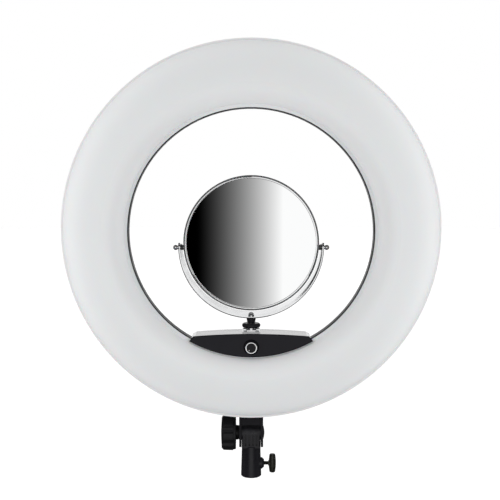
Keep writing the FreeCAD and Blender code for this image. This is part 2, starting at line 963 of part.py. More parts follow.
node("bar_front_shell", bar_front_shell())


def bar_rear_shell():
    """Rear half: shallow cover with the power inlet and the switch."""
    radius = size("bar_radius")
    block = rounded(
        extrude("XZ_Plane", bar_outline(radius, 0), bar_split, bar_back),
        1.4,
        lambda edge: abs(edge.BoundBox.YMin - bar_back.number) < 0.01,
    )
    hollow = extrude("XZ_Plane", bar_outline(radius, bar_wall), bar_split - 1, bar_back - bar_wall)
    inlet_hole = cylinder(5.6, 8.0, inlet_x, bar_back - 6, control_z, "Y")
    switch_hole = box(
        (switch_x - 8.1, switch_x + 8.1),
        (bar_back - 6, bar_back + 2),
        (control_z - 4.6, control_z + 5.6),
    )
    posts = []
    bores = []
    for x, z in shell_screw_spots():
        posts.append(common(
            cylinder(3.4, 15.5, x, bar_split, z, "Y"),
            extrude("XZ_Plane", bar_outline(radius, 1.0), bar_split, bar_back - 0.5),
        ))
        bores.append(cylinder(1.55, 30.0, x, bar_split - 8, z, "Y"))
        bores.append(cylinder(2.8, 8.0, x, bar_back - 2.4, z, "Y"))
    return cut(fuse(cut(block, hollow), *posts), inlet_hole, switch_hole, parting_groove(), *bores)


node("bar_rear_shell", bar_rear_shell())
node(
    "bar_shell_screws",
    group(
        *[
            screw(2.6, 1.8, 1.5, 14.0, x, bar_back - 0.6, z, "-Y", recess=1.0)
            for x, z in shell_screw_spots()
        ]
    ),
)
node(
    "bar_screws",
    group(
        *[
            screw(2.6, 1.6, 1.5, 11.0, side * bar_screw_x, bar_screw_y, 173.0, "Z", recess=0.9)
            for side in (-1, 1)
        ]
    ),
)
driver_back = -42.4
node("driver_board", box((-36.0, 36.0), (driver_back - 1.6, driver_back), (driver_z - 5.0, driver_z + 5.0)))
node(
    "driver_capacitors",
    group(*[cylinder(3.5, 9.0, x, driver_back, driver_z, "Y") for x in (20.0, 29.0)]),
)
node("driver_inductor", cylinder(4.4, 7.0, -26.0, driver_back, driver_z, "Y"))


def dimmer_pot():
    can = box((-5.2, 5.2), (-54.5, -47.5), (dimmer_z - 4.4, dimmer_z + 6.6))
    collar = cylinder(3.5, 4.0, 0, -58.4, dimmer_z, "Y")
    return cut(fuse(can, collar), cylinder(3.05, 10.5, 0, -58.5, dimmer_z, "Y"))


node("dimmer_pot", dimmer_pot())
node("dimmer_shaft", cylinder(3.0, 16.0, 0, -64.4, dimmer_z, "Y"))


def dimmer_knob():
    """Push-on knob with a sunk face and a pointer notch at its low end stop."""
    solid = revolve(
        "XY_Plane",
        "V_Axis",
        [
            (3.0, -60.1),
            (6.9, -60.1),
            (6.9, -66.0),
            (5.8, -66.0),
            (5.8, -66.4),
            (5.4, -66.6),
            (0, -66.6),
            (0, -64.4),
            (3.0, -64.4),
        ],
        z=dimmer_z,
    )
    low_stop = math.radians(232.0)
    reach = 4.3
    x = reach * math.cos(low_stop)
    notch = cylinder(0.7, 2.0, x, -67.5, dimmer_z + reach * math.sin(low_stop), "Y")
    return cut(solid, notch)


node("dimmer_knob", dimmer_knob())
node(
    "dimmer_ring",
    revolve(
        "XY_Plane",
        "V_Axis",
        [(5.8, -66.0), (5.8, -67.0), (6.1, -67.3), (6.8, -67.3), (7.1, -67.0), (7.1, -66.0)],
        z=dimmer_z,
    ),
)


def dc_inlet():
    """Barrel socket: an open sleeve with a centre pin."""
    sleeve = cut(
        fuse(
            cylinder(5.5, 13.0, inlet_x, bar_back - 13.0, control_z, "Y"),
            cylinder(6.6, 1.2, inlet_x, bar_back, control_z, "Y"),
        ),
        cylinder(2.85, 12.0, inlet_x, bar_back - 9.0, control_z, "Y"),
    )
    return fuse(sleeve, cylinder(1.0, 10.5, inlet_x, bar_back - 11.0, control_z, "Y"))


node("dc_inlet", dc_inlet())


def power_switch():
    """Snap-in switch body with a bezel and a pocket for its rocker."""
    shell = fuse(
        box(
            (switch_x - 8.0, switch_x + 8.0),
            (bar_back - 11.0, bar_back),
            (control_z - 4.5, control_z + 5.5),
        ),
        box(
            (switch_x - 9.4, switch_x + 9.4),
            (bar_back, bar_back + 1.2),
            (control_z - 5.6, control_z + 6.6),
        ),
    )
    pocket = box(
        (switch_x - 6.8, switch_x + 6.8),
        (bar_back - 8.0, bar_back + 3.0),
        (rocker_low - loose, rocker_high + loose),
    )
    return cut(shell, pocket)


node("power_switch", power_switch())


def power_rocker():
    """Rocker with a shallow valley across its face, tipped so that its right end is pressed in."""
    outline = [
        (-5.6, 0.5),
        (-3.0, -3.5),
        (3.0, -3.5),
        (5.6, 0.5),
        (5.6, 3.9),
        (0, 3.0),
        (-5.6, 3.9),
    ]
    rocker = extrude("XY_Plane", outline, rocker_low, rocker_high)
    return place(rocker, switch_x, rocker_y, rocker_low, FreeCAD.Rotation(Vector(0, 0, 1), -ROCKER_TIP))


node("power_rocker", power_rocker())

# ---------------------------------------------------------------- shoe, stem and locking disc

shoe_floor = bar_top + 1.2
lip_top = shoe_floor + 3.7
disc_low = lip_top + 0.4
disc_high = disc_low + 5.7
strip_low = yoke_z - yoke_radius
strip_high = strip_low + yoke_sheet


def cold_shoe():
    """Accessory shoe open to the front, with turned-in lips and an end stop."""
    low = bar_top - seat_drop
    front = stem_y - shoe_half
    back = stem_y + shoe_half
    end_stop = 1.4
    half_slot = 9.5
    half_mouth = 6.5
    block = box((-shoe_half, shoe_half), (front, back), (low, lip_top))
    slot = box((-half_slot, half_slot), (front - 1, back - end_stop), (shoe_floor, shoe_floor + 2.2))
    mouth = box((-half_mouth, half_mouth), (front - 1, back - end_stop), (shoe_floor, shoe_floor + 6))
    holes = []
    for side in (-1, 1):
        holes.append(cylinder(1.6, 8.0, side * shoe_screw_x, stem_y, low - 3))
        holes.append(cone(1.6, 2.6, 1.0, side * shoe_screw_x, stem_y, shoe_floor - 1.0))
    solid = rounded(
        cut(block, slot, mouth),
        0.5,
        lambda edge: edge.BoundBox.ZMin > lip_top.number - 0.1
        and abs(edge.BoundBox.XMax - edge.BoundBox.XMin) < 0.01
        and abs(abs(edge.BoundBox.XMax) - shoe_half.number) < 0.01,
    )
    return cut(solid, *holes)


node("cold_shoe", cold_shoe())
node(
    "shoe_screws",
    group(
        *[
            fuse(
                cylinder(1.5, 5.5, side * shoe_screw_x, stem_y, shoe_floor - 6.55),
                cone(1.5, 2.5, 1.0, side * shoe_screw_x, stem_y, shoe_floor - 1.05),
            )
            for side in (-1, 1)
        ]
    ),
)
foot_half = 9.2
foot_corner = 4.0
foot_front = stem_y - 9.0
foot_back = stem_y + 9.0
foot_outline = [
    (-foot_half, foot_front + foot_corner),
    (-foot_half + foot_corner, foot_front),
    (foot_half - foot_corner, foot_front),
    (foot_half, foot_front + foot_corner),
    (foot_half, foot_back - foot_corner),
    (foot_half - foot_corner, foot_back),
    (-foot_half + foot_corner, foot_back),
    (-foot_half, foot_back - foot_corner),
]
node(
    "shoe_foot",
    cut(
        extrude("XY_Plane", foot_outline, shoe_floor + 0.1, shoe_floor + 1.9),
        cylinder(stud_radius, 6.0, 0, stem_y, shoe_floor - 2),
    ),
)
node(
    "stem_stud",
    fuse(
        cylinder(stud_radius, disc_high - shoe_floor, 0, stem_y, shoe_floor + 0.1),
        cylinder(6.2, lip_top - shoe_floor - 1.9, 0, stem_y, shoe_floor + 1.9),
        cylinder(tip_radius, strip_high + 2.7 - disc_high, 0, stem_y, disc_high),
    ),
)


def shoe_disc():
    """Round-edged locking disc that runs down the stud onto the shoe's lips."""
    edge = 2.8
    body = revolve(
        "XZ_Plane",
        "V_Axis",
        [
            (stud_radius + running, disc_low),
            (disc_radius - edge, disc_low, edge, 1),
            (disc_radius, disc_low + edge),
            (disc_radius, disc_high - edge, edge, 1),
            (disc_radius - edge, disc_high),
            (stud_radius + running, disc_high),
        ],
        y=stem_y,
    )
    flutes = []
    reach = disc_radius + 0.35
    for index in range(DISC_FLUTES):
        angle = 2 * math.pi * index / DISC_FLUTES
        x = reach * math.cos(angle)
        y = stem_y + reach * math.sin(angle)
        flutes.append(cylinder(0.8, 8.0, x, y, disc_low - 1))
    return cut(body, *flutes)


node("shoe_disc", shoe_disc())
node(
    "stem_neck",
    revolve(
        "XZ_Plane",
        "V_Axis",
        [
            (tip_radius, disc_high + 0.4),
            (4.8, disc_high + 0.4),
            (5.8, strip_low - 1.2),
            (5.8, strip_low - 0.3),
            (tip_radius, strip_low - 0.3),
        ],
        y=stem_y,
    ),
)
node(
    "dome_nut",
    revolve(
        "XZ_Plane",
        "V_Axis",
        [
            (tip_radius, strip_high + 0.3),
            (3.7, strip_high + 0.3, 3.7, 1),
            (0, strip_high + 4.0),
            (0, strip_high + 2.7),
            (tip_radius, strip_high + 2.7),
        ],
        y=stem_y,
    ),
)

# ---------------------------------------------------------------- mirror and yoke


def ring_slice(centre_z, outer, inner, low, high):
    return cut(
        cylinder(outer, high - low, 0, low, centre_z, "Y"),
        cylinder(inner, high - low + 2, 0, low - 1, centre_z, "Y"),
    )


def mirror_yoke():
    """Pressed crescent: a bent strip with a web behind it that narrows towards the pivots."""
    front = stem_y - yoke_depth
    back = stem_y + yoke_depth
    strip = rounded(
        ring_slice(yoke_z, yoke_radius, yoke_radius - yoke_sheet, front, back),
        1.2,
        lambda edge: abs(edge.BoundBox.YMax - front.number) < 0.01
        and edge.BoundBox.XLength > 2 * yoke_radius.number - 0.1,
    )
    disc = cylinder(yoke_radius - 0.5, yoke_sheet, 0, back - yoke_sheet, yoke_z, "Y")
    window = cylinder(mirror_radius + 1.4, 10.0, 0, back - 5, mirror_z, "Y")
    above = box((-120.0, 120.0), (front - 5, back + 5), (yoke_top, yoke_top + 120))
    eye = yoke_top - pivot_z
    corners = []
    for side in (-1, 1):
        middle = side * yoke_radius
        end = box((middle - 6.0, middle + 6.0), (front - 1, back + 1), (pivot_z, yoke_top + 1))
        corners.append(cut(end, cylinder(eye, 14.0, middle - 7.0, stem_y, pivot_z, "X")))
    pivot_hole = cylinder(pivot_screw_radius + running, 240.0, -120.0, stem_y, pivot_z, "X")
    stem_hole = cylinder(tip_radius + running, 10.0, 0, stem_y, strip_low - 4)
    return cut(fuse(strip, cut(disc, window)), above, pivot_hole, stem_hole, *corners)


node("mirror_yoke", mirror_yoke())


def mirror_frame():
    """Channel-section rim that holds both glasses."""
    outer = mirror_radius
    lip = outer - 4.0
    groove = outer - 2.5
    edge = 2.8
    body = revolve(
        "XY_Plane",
        "V_Axis",
        [
            (lip, -mirror_half + 0.4),
            (lip + 0.4, -mirror_half),
            (outer - edge, -mirror_half, edge, 1),
            (outer, -mirror_half + edge),
            (outer, mirror_half - edge, edge, 1),
            (outer - edge, mirror_half),
            (lip + 0.4, mirror_half),
            (lip, mirror_half - 0.4),
            (lip, mirror_half - 1.2),
            (groove, mirror_half - 1.2),
            (groove, -mirror_half + 1.2),
            (lip, -mirror_half + 1.2),
        ],
        y=stem_y,
        z=mirror_z,
    )
    return cut(body, cylinder(pivot_screw_radius + running, 200.0, -100.0, stem_y, pivot_z, "X"))


frame_ring = node("mirror_frame", mirror_frame())
glass_radius = mirror_radius - 2.6
node("front_mirror", cylinder(glass_radius, 2.0, 0, stem_y - mirror_half + 1.25, mirror_z, "Y"))


def rear_mirror():
    """Magnifying glass: a shallow dish on its outer side."""
    thickness = 2.05
    rim = mirror_half - 1.25
    sag = 1.1
    dish_round = (glass_radius * glass_radius + sag * sag) / (2 * sag)
    return revolve(
        "XY_Plane",
        "V_Axis",
        [
            (0, rim - thickness),
            (glass_radius, rim - thickness),
            (glass_radius, rim, dish_round, -1),
            (0, rim - sag),
        ],
        y=stem_y,
        z=mirror_z,
    )


node("rear_mirror", rear_mirror())
node("mirror_core", cylinder(glass_radius, 2.3, 0, stem_y - 1.15, mirror_z, "Y"))


def pivot_bush(side):
    axis = "X" if side > 0 else "-X"
    sleeve = cylinder(bush_radius, 8.3, side * 80.1, stem_y, pivot_z, axis)
    bore = cylinder(pivot_screw_radius + running, 12.0, side * 78.0, stem_y, pivot_z, axis)
    inside = cylinder(mirror_radius - 0.5, 20.0, 0, stem_y - 10, mirror_z, "Y")
    return cut(cut(sleeve, inside), bore, frame_ring)


node("pivot_bushes", group(pivot_bush(-1), pivot_bush(1)))


def pivot_screw(side):
    """Ball-headed pivot screw with a collar against the yoke."""
    centre = 94.3
    radius = 3.3
    collar = 2.3
    collar_start = 91.2
    end = 82.3
    meet = centre - math.sqrt(radius * radius - collar * collar)
    return revolve(
        "XY_Plane",
        "H_Axis",
        [
            (end, 0),
            (centre + radius, 0, radius, 1),
            (meet, collar),
            (collar_start, collar),
            (collar_start, pivot_screw_radius),
            (end, pivot_screw_radius),
        ],
        y=stem_y,
        z=pivot_z,
        start=0.0 if side > 0 else 180.0,
    )


node("pivot_screws", group(pivot_screw(-1), pivot_screw(1)))

# ---------------------------------------------------------------- checks and files

doc.recompute()
failed = [obj.Name for obj in doc.Objects if "Invalid" in obj.State or "Error" in obj.State]
if failed:
    raise RuntimeError(f"failed objects: {failed}")
for name, obj in nodes.items():
    if obj.Shape.isNull() or not obj.Shape.isValid() or not obj.Shape.Solids:
        raise RuntimeError(f"bad shape: {name}")

os.makedirs("parts", exist_ok=True)
for name, obj in nodes.items():
    obj.Shape.exportStep(f"parts/{name}.step")
    print(f"{name:20s} solids {len(obj.Shape.Solids):3d} volume {obj.Shape.Volume:12.1f}")
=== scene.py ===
import json
import math

import bmesh
import bpy
from mathutils import Matrix, Vector


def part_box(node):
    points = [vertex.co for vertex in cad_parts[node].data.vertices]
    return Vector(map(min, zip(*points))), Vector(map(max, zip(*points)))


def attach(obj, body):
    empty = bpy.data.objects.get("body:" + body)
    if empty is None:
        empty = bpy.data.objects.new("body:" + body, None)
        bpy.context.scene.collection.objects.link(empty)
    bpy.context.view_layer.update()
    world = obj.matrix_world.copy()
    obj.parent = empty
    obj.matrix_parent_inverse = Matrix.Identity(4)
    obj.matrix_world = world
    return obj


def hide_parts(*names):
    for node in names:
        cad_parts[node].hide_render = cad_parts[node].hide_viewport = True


# Looks for the ring light with its mirror. Metres, in the shared frame:
# +X is right as seen from the lit side, -Y is the lit side, +Z is up.

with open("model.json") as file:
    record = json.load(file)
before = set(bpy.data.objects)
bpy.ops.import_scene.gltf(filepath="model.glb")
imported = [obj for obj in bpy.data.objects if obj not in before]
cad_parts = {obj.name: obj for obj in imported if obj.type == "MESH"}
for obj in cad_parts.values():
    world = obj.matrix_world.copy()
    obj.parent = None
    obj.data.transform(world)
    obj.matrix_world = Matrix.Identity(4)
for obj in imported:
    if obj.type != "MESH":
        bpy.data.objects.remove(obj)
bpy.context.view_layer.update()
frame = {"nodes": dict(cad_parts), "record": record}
nodes = frame["nodes"]

MM = 0.001


def add_node(tree, kind, inputs=None, **settings):
    """A shader node with its settings made and its inputs set or linked."""
    made = tree.nodes.new(kind)
    for key, value in settings.items():
        setattr(made, key, value)
    for key, value in (inputs or {}).items():
        if isinstance(value, bpy.types.NodeSocket):
            tree.links.new(value, made.inputs[key])
        else:
            made.inputs[key].default_value = value
    return made


# ---------------------------------------------------------------- node materials


class Surface:
    """A Principled material and the few node chains that every surface here is made of."""

    NOISE_ROUGHNESS = 0.55
    ROUGHNESS_FLOOR = 0.02
    SCRATCH_SQUEEZE = 0.03
    WEAR_PATCH = 6.0 * MM
    WEAR_STARTS = 0.55
    WEAR_FULL = 0.68
    PATCH_STARTS = 0.42
    PATCH_FULL = 0.62

    def __init__(self, name, colour, rough, metal=0.0):
        self.material = bpy.data.materials.new(name)
        self.material.use_nodes = True
        self.tree = self.material.node_tree
        self.shader = self.tree.nodes["Principled BSDF"]
        self.colour = colour
        self.tone = (*colour, 1.0)
        self.rough = rough
        self.set("Base Color", self.tone)
        self.set("Roughness", rough)
        self.set("Metallic", metal)
        self.coords = self.node("ShaderNodeTexCoord").outputs["Object"]
        self.bump_from = None

    def set(self, socket, value):
        self.shader.inputs[socket].default_value = value
        return self

    def node(self, kind, inputs=None, **settings):
        return add_node(self.tree, kind, inputs, **settings)

    def link(self, output, socket):
        self.tree.links.new(output, self.shader.inputs[socket])

    def noise(self, size, detail=3.0, stretch=(1, 1, 1)):
        """Noise whose lumps are about this many metres across, squeezed along each axis by stretch."""
        spot = self.node("ShaderNodeMapping", {"Vector": self.coords, "Scale": stretch})
        inputs = {
            "Vector": spot.outputs["Vector"],
            "Scale": 1.0 / size,
            "Detail": detail,
            "Roughness": self.NOISE_ROUGHNESS,
        }
        return self.node("ShaderNodeTexNoise", inputs).outputs["Fac"]

    def spread(self, value, low, high, start=0.3, end=0.7):
        """Takes start..end of a value to low..high."""
        inputs = {"Value": value, "From Min": start, "From Max": end, "To Min": low, "To Max": high}
        return self.node("ShaderNodeMapRange", inputs).outputs["Result"]

    def mix(self, amount, first, second):
        """A colour between first and second; Mix has several sockets of each name, so they go by number."""
        factor, colour_a, colour_b, colour_result = 0, 6, 7, 2
        inputs = {factor: amount, colour_a: first, colour_b: second}
        return self.node("ShaderNodeMix", inputs, data_type="RGBA").outputs[colour_result]

    def mottle(self, size, amount):
        """Slow changes of tone, from the colour times 1 - amount to times 1 + amount."""
        low = (*[channel * (1 - amount) for channel in self.colour], 1.0)
        high = (*[min(1.0, channel * (1 + amount)) for channel in self.colour], 1.0)
        self.tone = self.mix(self.spread(self.noise(size), 0.0, 1.0), low, high)
        self.link(self.tone, "Base Color")
        return self

    def smudge(self, size, amount):
        """Roughness that wanders by amount either side of its middle."""
        low, high = max(self.ROUGHNESS_FLOOR, self.rough - amount), self.rough + amount
        self.link(self.spread(self.noise(size, 4.0), low, high), "Roughness")
        return self

    def bump(self, height, distance):
        made = self.node("ShaderNodeBump", {"Height": height, "Distance": distance})
        if self.bump_from is not None:
            self.tree.links.new(self.bump_from, made.inputs["Normal"])
        self.bump_from = made.outputs["Normal"]
        self.link(self.bump_from, "Normal")
        return self

    def grain(self, size, depth):
        """Moulded or sprayed texture: lumps this far across and this deep, in metres."""
        return self.bump(self.noise(size, 2.0), depth)

    def pebble(self, size, depth):
        """Spark-eroded mould texture, as small rounded cells."""
        inputs = {"Vector": self.coords, "Scale": 1.0 / size}
        cells = self.node("ShaderNodeTexVoronoi", inputs, feature="SMOOTH_F1")
        return self.bump(cells.outputs["Distance"], depth)

    def brushed(self, size, depth, along):
        """Fine scratches that run along one axis, "X", "Y" or "Z"."""
        stretch = tuple(self.SCRATCH_SQUEEZE if axis == along else 1.0 for axis in "XYZ")
        return self.bump(self.noise(size, 4.0, stretch), depth)

    def worn_edges(self, colour, amount):
        """A lighter colour on sharp convex edges, broken up by noise."""
        point = self.node("ShaderNodeNewGeometry").outputs["Pointiness"]
        edge = self.spread(point, 0.0, amount, self.WEAR_STARTS, self.WEAR_FULL)
        noise = self.noise(self.WEAR_PATCH, 4.0)
        patch = self.spread(noise, 0.0, 1.0, self.PATCH_STARTS, self.PATCH_FULL)
        both = self.node("ShaderNodeMath", {0: edge, 1: patch}, operation="MULTIPLY").outputs[0]
        self.link(self.mix(both, self.tone, (*colour, 1.0)), "Base Color")
        return self


def black_plastic(name, colour=(0.012, 0.012, 0.014), rough=0.36, cell=0.4 * MM, depth=0.02 * MM, gloss=0.25):
    made = Surface(name, colour, rough).mottle(0.03, 0.1).smudge(0.02, 0.05).pebble(cell, depth)
    return made.worn_edges((0.05, 0.05, 0.054), 0.4).set("Specular IOR Level", gloss)


def bright_metal(name, colour, rough, along=None, size=0.6 * MM, depth=0.004 * MM):
    made = Surface(name, colour, rough, 1.0).mottle(0.02, 0.03).smudge(0.012, rough * 0.35)
    return made.brushed(size, depth, along) if along else made.grain(size, depth)


def matt(name, colour, rough, lump, change, grain, depth):
    """A plain surface whose tone changes by a fraction over each lump, under a fine grain."""
    return Surface(name, colour, rough).mottle(lump, change).grain(grain, depth)


look = {}
look["black_plastic"] = black_plastic("black_plastic")
look["bar_plastic"] = black_plastic(
    "bar_plastic", (0.0062, 0.006, 0.009), 0.16, 0.5 * MM, 0.004 * MM, 0.1
)
look["bar_plastic"].set("Coat Weight", 1.0).set("Coat IOR", 1.18).set("Coat Roughness", 0.12)
look["housing_plastic"] = black_plastic(
    "housing_plastic", (0.016, 0.016, 0.018), 0.44, 0.7 * MM, 0.04 * MM, 0.35
)
look["knob_plastic"] = black_plastic(
    "knob_plastic", (0.008, 0.008, 0.009), 0.32, 0.5 * MM, 0.012 * MM, 0.2
)
look["adapter_plastic"] = black_plastic(
    "adapter_plastic", (0.011, 0.0105, 0.0135), 0.3, 0.5 * MM, 0.01 * MM, 0.3
)
look["opal_plastic"] = (
    Surface("opal_plastic", (0.83, 0.832, 0.84), 0.46)
    .mottle(0.12, 0.006)
    .smudge(0.05, 0.05)
    .grain(1.2 * MM, 0.01 * MM)
    .set("Subsurface Weight", 0.12)
    .set("Subsurface Scale", 6.0 * MM)
    .set("Specular IOR Level", 0.42)
)
look["chrome"] = bright_metal("chrome", (0.86, 0.865, 0.87), 0.07, None, 4.0 * MM, 0.002 * MM)
look["mirror_glass"] = (
    Surface("mirror_glass", (0.965, 0.97, 0.97), 0.006, 1.0)
    .mottle(0.06, 0.004)
    .set("Coat Weight", 0.3)
    .set("Coat Roughness", 0.01)
)
look["steel"] = bright_metal("steel", (0.6, 0.6, 0.61), 0.28, "Z")
look["shoe_metal"] = bright_metal("shoe_metal", (0.84, 0.845, 0.85), 0.2, "Y")
look["brass"] = bright_metal("brass", (0.75, 0.56, 0.24), 0.26, "X")
look["black_steel"] = (
    Surface("black_steel", (0.021, 0.021, 0.023), 0.34)
    .mottle(0.02, 0.14)
    .smudge(0.012, 0.06)
    .grain(0.9 * MM, 0.03 * MM)
    .worn_edges((0.17, 0.165, 0.15), 0.6)
)
look["black_paint"] = (
    Surface("black_paint", (0.0075, 0.007, 0.0095), 0.5)
    .mottle(0.02, 0.12)
    .smudge(0.012, 0.06)
    .grain(0.7 * MM, 0.03 * MM)
    .worn_edges((0.05, 0.05, 0.055), 0.4)
    .set("Specular IOR Level", 0.2)
)
look["dark_screw"] = (
    Surface("dark_screw", (0.018, 0.018, 0.013), 0.3, 0.3)
    .mottle(0.004, 0.3)
    .smudge(0.004, 0.08)
    .grain(0.8 * MM, 0.03 * MM)
    .worn_edges((0.16, 0.155, 0.12), 0.6)
)
for matt_row in (
    ("nylon", (0.78, 0.77, 0.71), 0.5, 0.004, 0.04, 0.6 * MM, 0.02 * MM),
    ("rubber", (0.022, 0.022, 0.022), 0.72, 0.005, 0.15, 0.5 * MM, 0.03 * MM),
    ("circuit_board", (0.84, 0.84, 0.82), 0.4, 0.02, 0.04, 2.0 * MM, 0.01 * MM),
    ("green_board", (0.02, 0.13, 0.05), 0.35, 0.006, 0.3, 1.0 * MM, 0.02 * MM),
    ("led_warm", (0.93, 0.67, 0.22), 0.35, 0.001, 0.06, 0.5 * MM, 0.01 * MM),
    ("led_cool", (0.9, 0.83, 0.4), 0.35, 0.001, 0.06, 0.5 * MM, 0.01 * MM),
    ("component", (0.035, 0.035, 0.04), 0.5, 0.003, 0.15, 0.6 * MM, 0.02 * MM),
    ("core_plastic", (0.14, 0.14, 0.15), 0.6, 0.01, 0.1, 1.0 * MM, 0.03 * MM),
    ("white_paint", (0.82, 0.82, 0.82), 0.5, 0.0006, 0.05, 0.3 * MM, 0.01 * MM),
):
    look[matt_row[0]] = matt(*matt_row)

# Nodes whose look is finer than their slot's.
SPECIAL = {
    "bar_front_shell": "bar_plastic",
    "bar_rear_shell": "bar_plastic",
    "dimmer_knob": "knob_plastic",
    "tilt_knob": "knob_plastic",
    "clevis_bracket": "black_paint",
    "tilt_bolt": "black_paint",
    "tilt_washer": "black_paint",
    "stand_adapter": "adapter_plastic",
    "lock_screw": "dark_screw",
    "lock_handle": "dark_screw",
}

for entry in frame["record"]["subparts"]:
    material = look[SPECIAL.get(entry["node"], entry["material_slot"])].material
    shown = nodes[entry["node"]]
    if shown.material_slots:
        for held in shown.material_slots:
            held.material = material
    else:
        shown.data.materials.append(material)


# ---------------------------------------------------------------- mesh building


def piece(name, mesh, body, material):
    """Links a finished mesh, shades it and ties it to its body and slot."""
    obj = bpy.data.objects.new(name, mesh)
    bpy.context.scene.collection.objects.link(obj)
    mesh.materials.append(look[material].material)
    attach(obj, body)
    return obj


def from_axis(axis, origin):
    """Turns +Z onto axis and moves the origin."""
    turn = Vector(axis).to_track_quat("Z", "Y").to_matrix().to_4x4()
    return Matrix.Translation(Vector(origin)) @ turn


def circle(made, radii, height):
    """A ring of vertices round Z, one for each radius."""
    steps = len(radii)
    angles = [2 * math.pi * step / steps for step in range(steps)]
    return [
        made.verts.new((radius * math.cos(angle), radius * math.sin(angle), height))
        for radius, angle in zip(radii, angles)
    ]


def finished(made, name, place, sharp=None):
    """The mesh of a bmesh, moved by place; with sharp, smooth except at edges over that many degrees."""
    made.transform(place)
    mesh = bpy.data.meshes.new(name)
    made.to_mesh(mesh)
    made.free()
    if sharp is not None:
        for polygon in mesh.polygons:
            polygon.use_smooth = True
        mesh.set_sharp_from_angle(angle=math.radians(sharp))
    return mesh


def lathe(name, profile, steps, axis=(0, 0, 1), origin=(0, 0, 0), closed=True):
    """A solid turned from (radius, height) points about axis; a closed profile makes a ring."""
    made = bmesh.new()
    rings = [
        circle(made, [radius] * steps, height) if radius > 0 else [made.verts.new((0, 0, height))]
        for radius, height in profile
    ]
    pairs = list(zip(rings, rings[1:]))
    if closed:
        pairs.append((rings[-1], rings[0]))
    for low, high in pairs:
        for step in range(steps):
            after = (step + 1) % steps
            if len(low) > 1 and len(high) > 1:
                made.faces.new((low[step], low[after], high[after], high[step]))
            elif len(high) > 1:
                made.faces.new((low[0], high[after], high[step]))
            elif len(low) > 1:
                made.faces.new((low[step], low[after], high[0]))
    bmesh.ops.recalc_face_normals(made, faces=made.faces)
    return finished(made, name, from_axis(axis, origin), sharp=35.0)


def threaded_rod(name, radius, depth, pitch, length, axis, origin):
    """A rod with a real helical thread that runs out at both ends, closed by flat caps."""
    made = bmesh.new()
    steps = 32
    rows_per_turn = 10
    crest = 1.25
    rows = int(length / pitch * rows_per_turn)
    rings = []
    for row in range(rows + 1):
        height = length * row / rows
        fade = min(1.0, height / pitch, (length - height) / pitch)
        radii = []
        for step in range(steps):
            phase = (height / pitch - step / steps) % 1.0
            ridge = 1.0 - abs(2.0 * phase - 1.0)
            radii.append(radius - depth + depth * min(1.0, ridge * crest) * fade)
        rings.append(circle(made, radii, height))
    for low, high in zip(rings, rings[1:]):
        for step in range(steps):
            after = (step + 1) % steps
            made.faces.new((low[step], low[after], high[after], high[step]))
    made.faces.new(list(reversed(rings[0])))
    made.faces.new(rings[-1])
    bmesh.ops.recalc_face_normals(made, faces=made.faces)
    return finished(made, name, from_axis(axis, origin), sharp=50.0)


# ---------------------------------------------------------------- pieces

LOCK_THREAD_DEPTH = 0.42 * MM
LOCK_THREAD_PITCH = 0.8 * MM
low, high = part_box("lock_screw")
lock_rod = piece(
    "lock_screw_thread",
    threaded_rod(
        "lock_screw_thread",
        (high.z - low.z) / 2,
        LOCK_THREAD_DEPTH,
        LOCK_THREAD_PITCH,
        high.x - low.x,
        (1, 0, 0),
        (low.x, 0, (low.z + high.z) / 2),
    ),
    "lock_screw",
    "dark_screw",
)
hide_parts("lock_screw")

# Paint in the pointer notch of the dimmer: its base is set in from the knob's domed face.
POINTER_ANGLE = math.radians(232.0)
POINTER_REACH = 4.3 * MM
POINTER_INSET = 1.05 * MM
low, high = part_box("dimmer_knob")
knob_centre = (low + high) / 2
pointer_spot = (
    knob_centre.x + POINTER_REACH * math.cos(POINTER_ANGLE),
    low.y + POINTER_INSET,
    knob_centre.z + POINTER_REACH * math.sin(POINTER_ANGLE),
)
pointer_profile = [(0, 0), (0.68 * MM, 0), (0.68 * MM, 0.75 * MM), (0.5 * MM, 0.9 * MM), (0, 0.95 * MM)]
piece(
    "dimmer_pointer",
    lathe("dimmer_pointer", pointer_profile, 24, (0, -1, 0), pointer_spot, closed=False),
    "dimmer",
    "white_paint",
)

# Brass skin on the inlet's centre pin: a thin sleeve with a rounded end.
low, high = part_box("dc_inlet")
inlet_centre = (low + high) / 2
pin_profile = [
    (1.02 * MM, 3.0 * MM),
    (1.16 * MM, 3.0 * MM),
    (1.16 * MM, 12.2 * MM),
    (0.8 * MM, 12.9 * MM),
    (0, 13.05 * MM),
    (0, 12.85 * MM),
    (1.02 * MM, 12.85 * MM),
]
piece(
    "inlet_pin",
    lathe("inlet_pin", pin_profile, 24, (0, 1, 0), (inlet_centre.x, low.y, inlet_centre.z)),
    "head",
    "brass",
)

